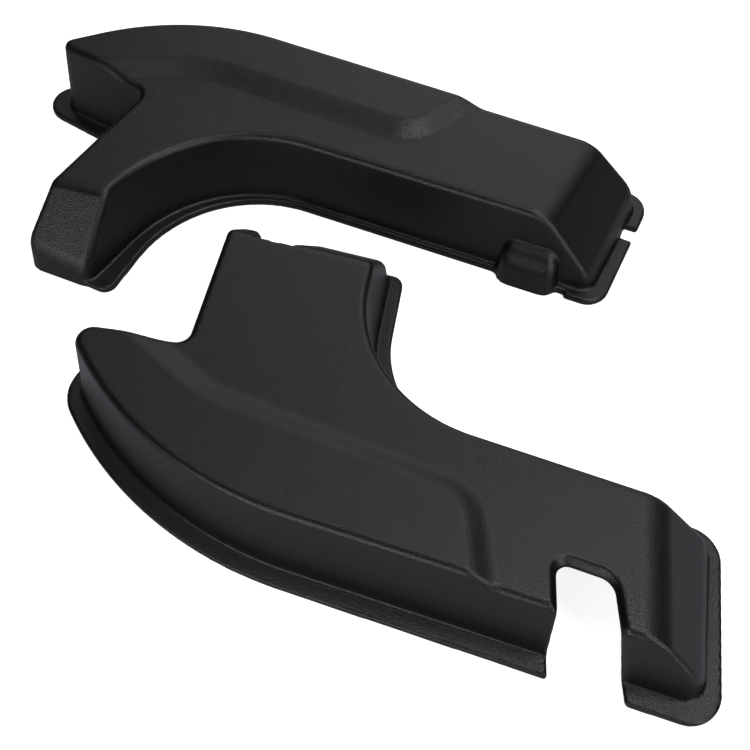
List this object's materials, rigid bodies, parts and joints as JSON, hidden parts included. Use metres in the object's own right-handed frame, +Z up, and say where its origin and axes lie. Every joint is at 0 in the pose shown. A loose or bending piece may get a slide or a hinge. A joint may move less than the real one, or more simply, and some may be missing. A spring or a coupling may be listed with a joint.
{
  "type": "pair of moulded cover shells",
  "caption": "Left and right black moulded plastic cover shells, open underneath, with a long sloped-end arm, pointed nose, side leg, raised ridge and flat rim flange.",
  "frame": {"origin": "centre of the pair's footprint, on the plane that the flanges rest on", "axes": "+X along the arms towards their sloped ends, +Y from the lower shell towards the upper shell, +Z up, away from the open side"},
  "size_m": [0.5158, 0.3428, 0.0585],
  "materials": {
    "shell_plastic": "fine-grained satin moulded black"
  },
  "bodies": {
    "root": {"upper_shell": "shell_plastic", "lower_shell": "shell_plastic"}
  },
  "joints": []
}
